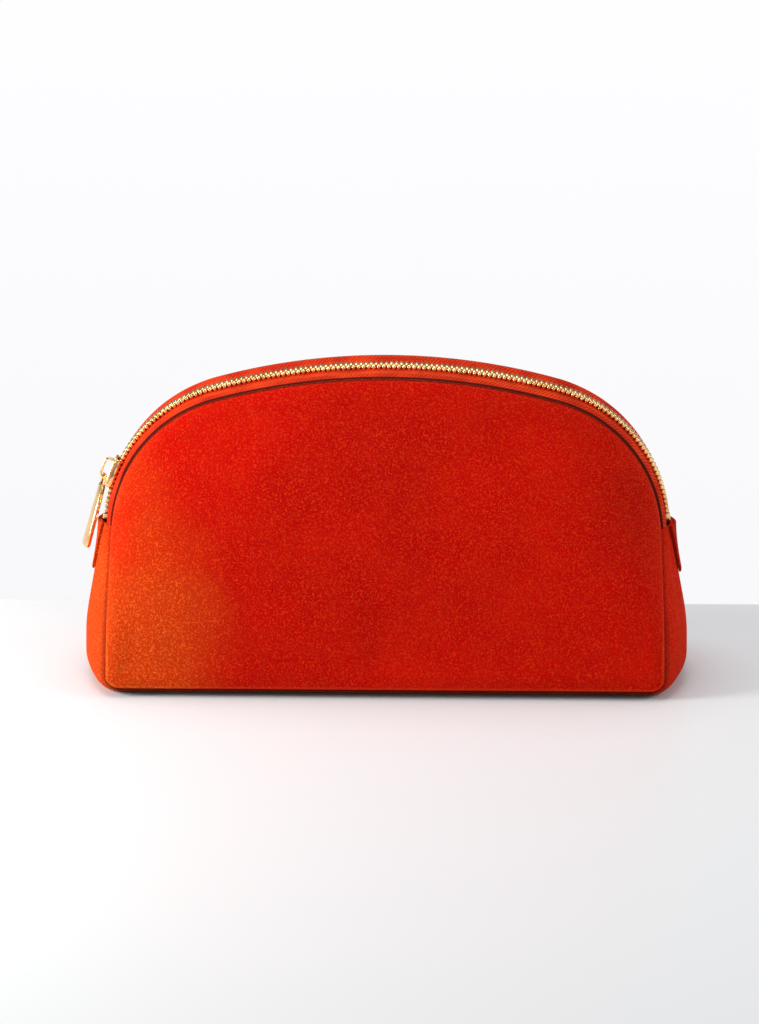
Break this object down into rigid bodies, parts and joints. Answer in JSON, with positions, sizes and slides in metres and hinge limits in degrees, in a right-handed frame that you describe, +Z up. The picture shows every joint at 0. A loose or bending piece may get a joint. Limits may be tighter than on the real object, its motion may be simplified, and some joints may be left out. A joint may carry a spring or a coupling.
{
  "type": "makeup bag",
  "caption": "Half-moon velvet makeup bag with a flat base, swelling side gussets and a curved metal zip over the top, with a slider and a hanging pull.",
  "frame": {"origin": "middle of the flat underside, on the surface the bag rests on", "axes": "+X to the bag's right as seen from the front, along its length; +Y to the back; +Z up. The front faces -Y."},
  "size_m": [0.2444, 0.084, 0.1268],
  "materials": {
    "velvet": "short pile, mottled by the way it is brushed",
    "zip_tape": "woven, matt",
    "gold_metal": "polished light gold",
    "padding": "open foam",
    "base_board": "matt",
    "lining": "smooth, slightly satin"
  },
  "bodies": {
    "bag": {"front_panel": "velvet", "back_panel": "velvet", "left_side_gusset": "velvet", "right_side_gusset": "velvet", "base_panel": "velvet", "left_end_tab": "velvet", "front_zip_tape": "zip_tape", "back_zip_tape": "zip_tape", "front_zip_teeth": "gold_metal", "back_zip_teeth": "gold_metal", "front_top_stop": "gold_metal", "back_top_stop": "gold_metal", "bottom_stop": "gold_metal", "front_foam": "padding", "back_foam": "padding", "base_board": "base_board", "front_lining": "lining", "back_lining": "lining", "left_side_lining": "lining", "right_side_lining": "lining", "base_lining": "lining"},
    "slider": {"slider_body": "gold_metal"},
    "pull": {"zip_pull": "gold_metal"},
    "right_tab": {"right_end_tab": "velvet"}
  },
  "joints": [
    {"name": "slider_travel", "type": "hinge", "parent": "bag", "child": "slider", "pos_m": [-0.0532, 0, 0.05831], "axis": [0, 1, 0], "range_deg": [0, 48], "deforming": ["front_zip_teeth", "back_zip_teeth"]},
    {"name": "pull_swing", "type": "hinge", "parent": "slider", "child": "pull", "pos_m": [-0.11293, 0, 0.07971], "axis": [0, 1, 0], "range_deg": [0, 110]},
    {"name": "right_tab_lift", "type": "hinge", "parent": "bag", "child": "right_tab", "pos_m": [0.1149, 0, 0.0615], "axis": [0, -1, 0], "range_deg": [0, 60], "stiffness_Nm_per_rad": 0.0005}
  ]
}
